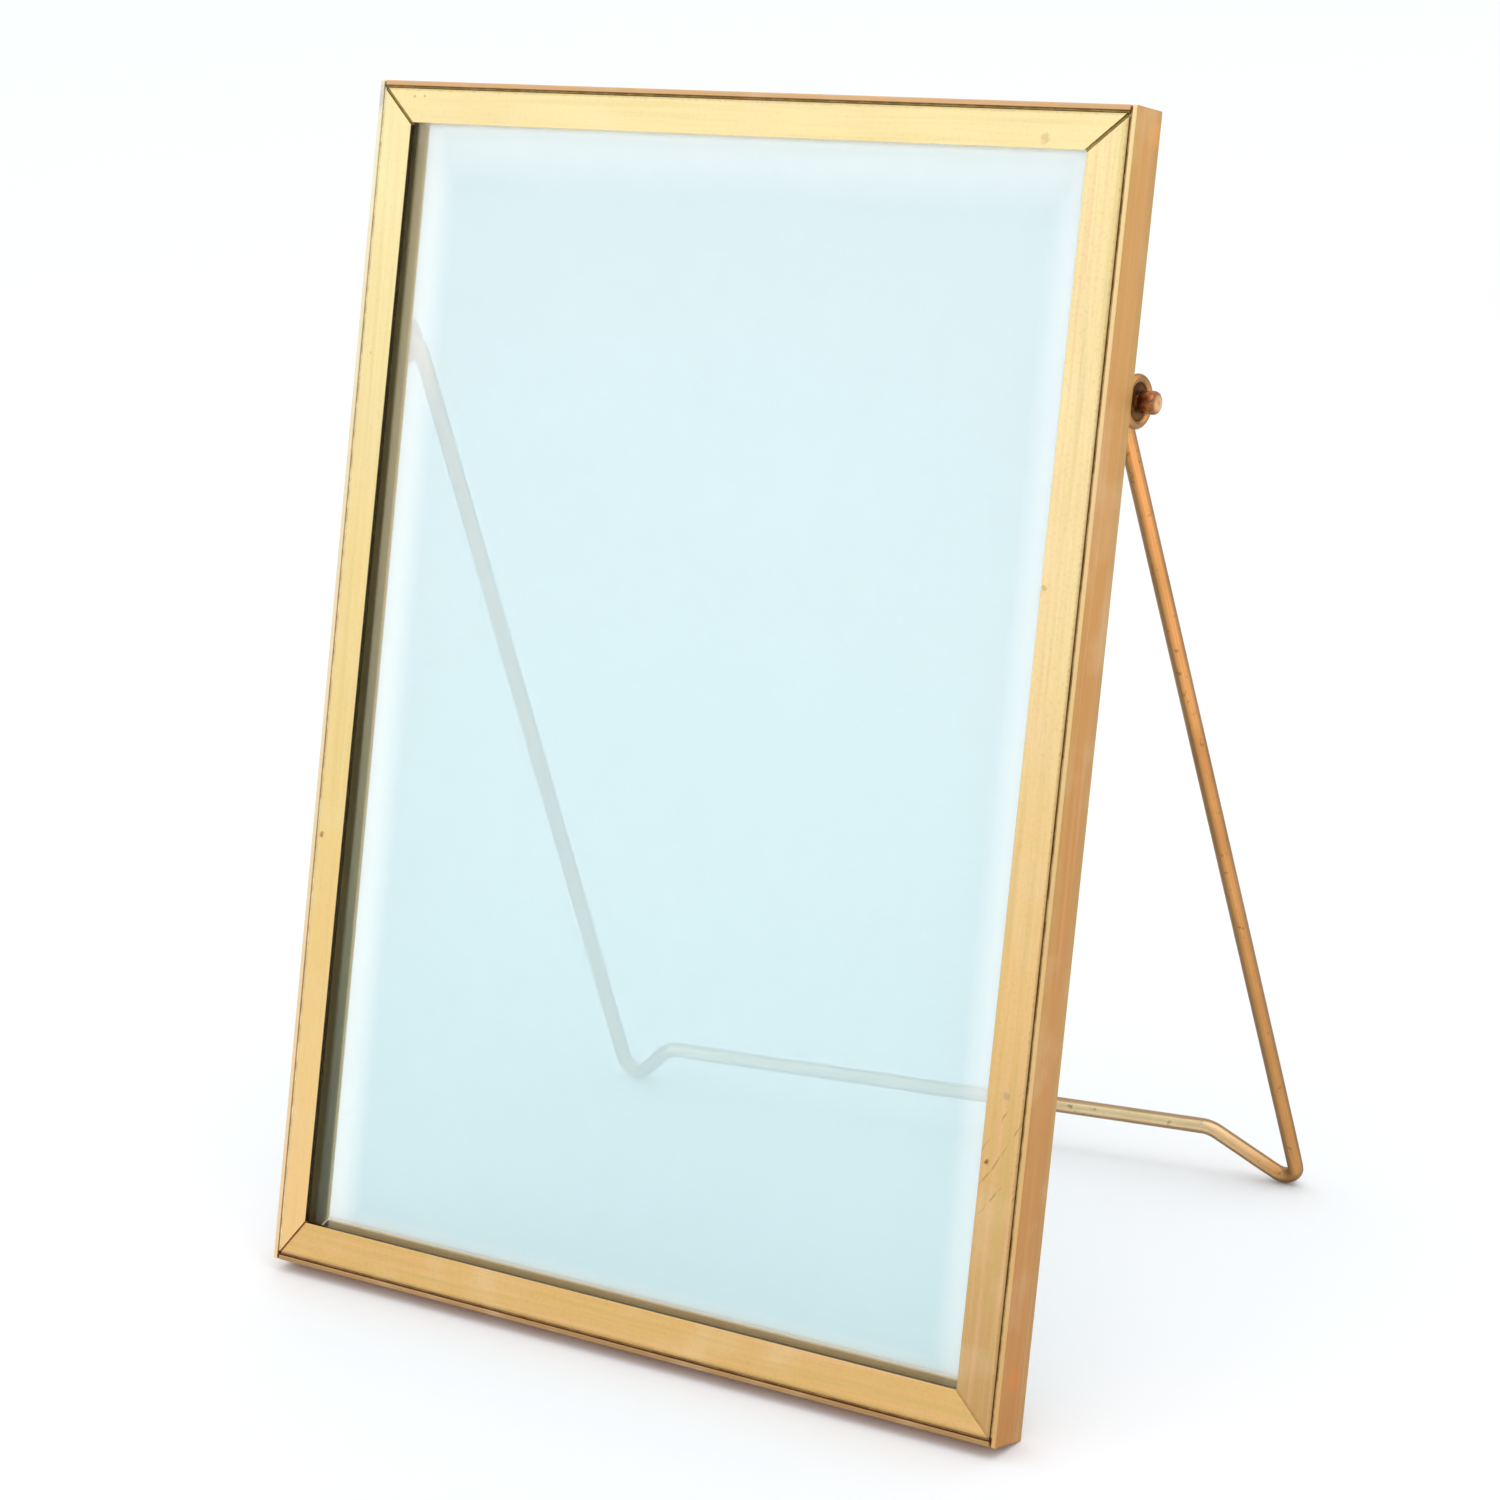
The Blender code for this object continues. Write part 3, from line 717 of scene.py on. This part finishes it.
def filled_seam(name, body, start, end, width, top, metal):
    """A thin bead in a seam, from start to end as (across, up), in millimetres.

    top is how far behind the front of the casing its crest lies.
    """
    start, end = Vector(start), Vector(end)
    side = (end - start).normalized().orthogonal() * (width / 2)
    mesh = bmesh.new()
    rings = []
    for point in (start, end):
        ring = []
        for offset, below in BEAD_PROFILE:
            place = point + side * offset
            ring.append(mesh.verts.new(casing.place(place.x * MM, (top + below) * MM, place.y * MM)))
        rings.append(ring)
    bridge(mesh, *rings)
    mesh.faces.new(rings[0])
    mesh.faces.new(reversed(rings[1]))
    bead = new_piece(name, finished_mesh(name, mesh), metal)
    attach(bead, body)


def build_seams():
    """The beads in the seams round the front, the two soldered corners and the two open mitres."""
    brown = seam_metal("seam_brown", *BROWN_SEAM)
    umber = seam_metal("seam_umber", *UMBER_SEAM)
    olive = seam_metal("seam_olive", *OLIVE_SEAM)
    pale = seam_metal("seam_pale", *PALE_SEAM)
    red = seam_metal("seam_red", *RED_SEAM)
    worn = seam_metal("seam_worn", *WORN_SEAM)
    seams = (
        ("left_seam", "casing", (-SIDE_SEAM, 1.3), (-SIDE_SEAM, 181.2), 0.39, 0.11, pale),
        ("right_seam", "casing", (SIDE_SEAM, 1.3), (SIDE_SEAM, 181.2), 0.38, 0.22, brown),
        ("bottom_seam", "casing", (-64.5, BOTTOM_SEAM), (64.5, BOTTOM_SEAM), 0.38, 0.22, umber),
        ("top_seam", "cap", (-64.5, TOP_SEAM), (64.5, TOP_SEAM), 0.38, 0.24, olive),
        ("left_corner_seam", "casing", (-64.5, 1.25), (-60.1, 6.68), 0.3, 0.2, red),
        ("right_corner_seam", "casing", (64.5, 1.25), (58.6, 6.7), 0.31, 0.11, worn),
        ("left_mitre_lacquer", "cap", (-64.4, 180.97), (-59.08, 175.97), 0.42, 0.26, olive),
        ("right_mitre_lacquer", "cap", (64.4, 180.97), (58.55, 175.98), 0.42, 0.2, olive),
    )
    for seam in seams:
        filled_seam(*seam)


def turned(name, body, start, length, outline, metal, hollow=False):
    """A piece turned about the hinge line, to one of the outlines above."""
    mesh = bmesh.new()
    rings = []
    for along, radius in outline:
        ring = []
        for index in range(TURNED_SIDES):
            angle = 2 * math.pi * index / TURNED_SIDES
            offset = (length * along, radius * MM * math.cos(angle), radius * MM * math.sin(angle))
            ring.append(mesh.verts.new(start + Vector(offset)))
        rings.append(ring)
    following = rings[1:]
    if hollow:
        following = following + rings[:1]
    for ring, after in zip(rings, following):
        bridge(mesh, ring, after)
    if not hollow:
        mesh.faces.new(rings[0])
        mesh.faces.new(reversed(rings[-1]))
    for face in mesh.faces:
        face.smooth = True
    data = finished_mesh(name, mesh)
    data.set_sharp_from_angle(angle=math.radians(50))
    piece = new_piece(name, data, metal)
    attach(piece, body)


def peened_brass(name, tip, pivot):
    """The wire's hammered ends: dark red-brown, with a painted highlight in the middle of the very
    end.
    """
    material, tree, shader = new_material(name)
    coordinates = stretched(tree, object_coordinates(tree), (1 / MM, 1 / MM, 1 / MM))
    across, beside, height = split(tree, coordinates)
    at_tip = remap(tree, calculate(tree, "ABSOLUTE", across), tip - 0.9, tip - 0.3)
    behind = calculate(tree, "SUBTRACT", beside, pivot.y / MM)
    above = calculate(tree, "SUBTRACT", height, pivot.z / MM)
    squares = calculate(tree, "ADD", calculate(tree, "POWER", behind, 2.0),
                        calculate(tree, "POWER", above, 2.0))
    off_middle = calculate(tree, "POWER", squares, 0.5)
    dents = noise(tree, coordinates, 1.3, detail=3.0)
    colour = blend_colours(tree, remap(tree, dents, 0.4, 0.65), *PEENED)
    end_highlight = calculate(tree, "MULTIPLY", at_tip, remap(tree, off_middle, 1.35, 0.9))
    colour = blend_colours(tree, end_highlight, colour, PEENED_HIGHLIGHT)
    rough = remap(tree, dents, 0.3, 0.7, 0.3, 0.5)
    connect_metal(tree, shader, colour, rough, dents, 0.5, PEENED_BUMPS)
    return material


def build_hinge_trim():
    """Peened heads on the wire's two ends, and dark collars inside the ring eyes, painted shade where
    the rings are in shadow.
    """
    hinge = next(joint for joint in frame["joints"] if joint["name"] == "stand_fold")
    pivot = Vector(hinge["pos_m"])
    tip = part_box("wire_stand")[1].x
    ring = (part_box("right_eye")[0].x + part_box("right_eye")[1].x) / 2
    # The collars carry painted shade, in the seam metal's dark colours.
    collar_metal = seam_metal("collar_shade", *COLLAR_SHADE, metallic=1.0)
    head_metal = peened_brass("peened_brass", tip / MM, pivot)
    for side, way in (("right", 1), ("left", -1)):
        start = pivot + Vector((way * (ring + HEAD_START), 0, 0))
        turned(f"{side}_peened_end", "stand", start, way * (tip - HEAD_INSET - ring - HEAD_START),
               PEENED_OUTLINE, head_metal)
        start = pivot + Vector((way * (ring - COLLAR_LENGTH / 2), 0, 0))
        turned(f"{side}_eye_collar", "casing", start, way * COLLAR_LENGTH, COLLAR_OUTLINE,
               collar_metal, hollow=True)


def build_floor():
    """A plain pale floor."""
    bpy.ops.mesh.primitive_plane_add(size=FLOOR_SIZE, location=(0, 0, cad_low.z - FLOOR_GAP))
    floor = bpy.context.object
    floor.name = "floor"
    material, _, shader = new_material("pale_floor")
    shader.inputs["Base Color"].default_value = (*FLOOR_COLOUR, 1.0)
    shader.inputs["Roughness"].default_value = 0.9
    shader.inputs["Specular IOR Level"].default_value = 0.1
    floor.data.materials.append(material)


def build_light():
    """Soft studio light: a pale sky, brighter high up and to the left, and a large lamp overhead."""
    world = bpy.data.worlds.new("studio")
    bpy.context.scene.world = world
    world.use_nodes = True
    tree = world.node_tree
    direction = split(tree, add_node(tree, "ShaderNodeTexCoord").outputs["Generated"])
    ramp = add_node(tree, "ShaderNodeValToRGB", {0: direction[2]})
    low, high = ramp.color_ramp.elements
    low.color = (*SKY_LOW, 1.0)
    high.position = SKY_FULL_HEIGHT
    high.color = (*SKY_HIGH, 1.0)
    towards_left = remap(tree, direction[0], -0.7, 0.5, SKY_LEFT, SKY_RIGHT)
    sky = add_node(tree, "ShaderNodeVectorMath", {0: ramp.outputs[0], 3: towards_left},
                   operation="SCALE")
    path = add_node(tree, "ShaderNodeLightPath").outputs["Is Camera Ray"]
    colour = blend_colours(tree, path, sky.outputs[0], (1.0, 1.0, 1.0))
    tree.links.new(colour, tree.nodes["Background"].inputs["Color"])

    lamp = bpy.data.lights.new("overhead", "AREA")
    lamp.size = LAMP_SIZE
    lamp.energy = LAMP_ENERGY
    lamp.color = LAMP_COLOUR
    holder = bpy.data.objects.new("overhead", lamp)
    bpy.context.scene.collection.objects.link(holder)
    holder.location = LAMP_PLACE
    aim = LAMP_TARGET - holder.location
    holder.rotation_euler = aim.to_track_quat("-Z", "Y").to_euler()


def build_camera():
    """The camera, slightly rolled."""
    back = Vector((math.sin(CAMERA_AZIMUTH) * math.cos(CAMERA_ELEVATION),
                   -math.cos(CAMERA_AZIMUTH) * math.cos(CAMERA_ELEVATION),
                   math.sin(CAMERA_ELEVATION)))
    camera = bpy.data.objects.new("camera", bpy.data.cameras.new("camera"))
    bpy.context.scene.collection.objects.link(camera)
    camera.data.lens = CAMERA_LENS
    camera.data.clip_start = 0.01
    camera.location = CAMERA_TARGET + back * CAMERA_DISTANCE
    roll = Quaternion((0.0, 0.0, 1.0), CAMERA_ROLL)
    camera.rotation_mode = "QUATERNION"
    camera.rotation_quaternion = (-back).to_track_quat("-Z", "Y") @ roll
    bpy.context.scene.camera = camera


finish_nodes()
for node_name in ("wire_stand", "left_eye", "right_eye"):
    round_off(node_name)
build_seams()
build_hinge_trim()
build_floor()
build_light()
build_camera()
bpy.context.scene.view_settings.view_transform = "Standard"
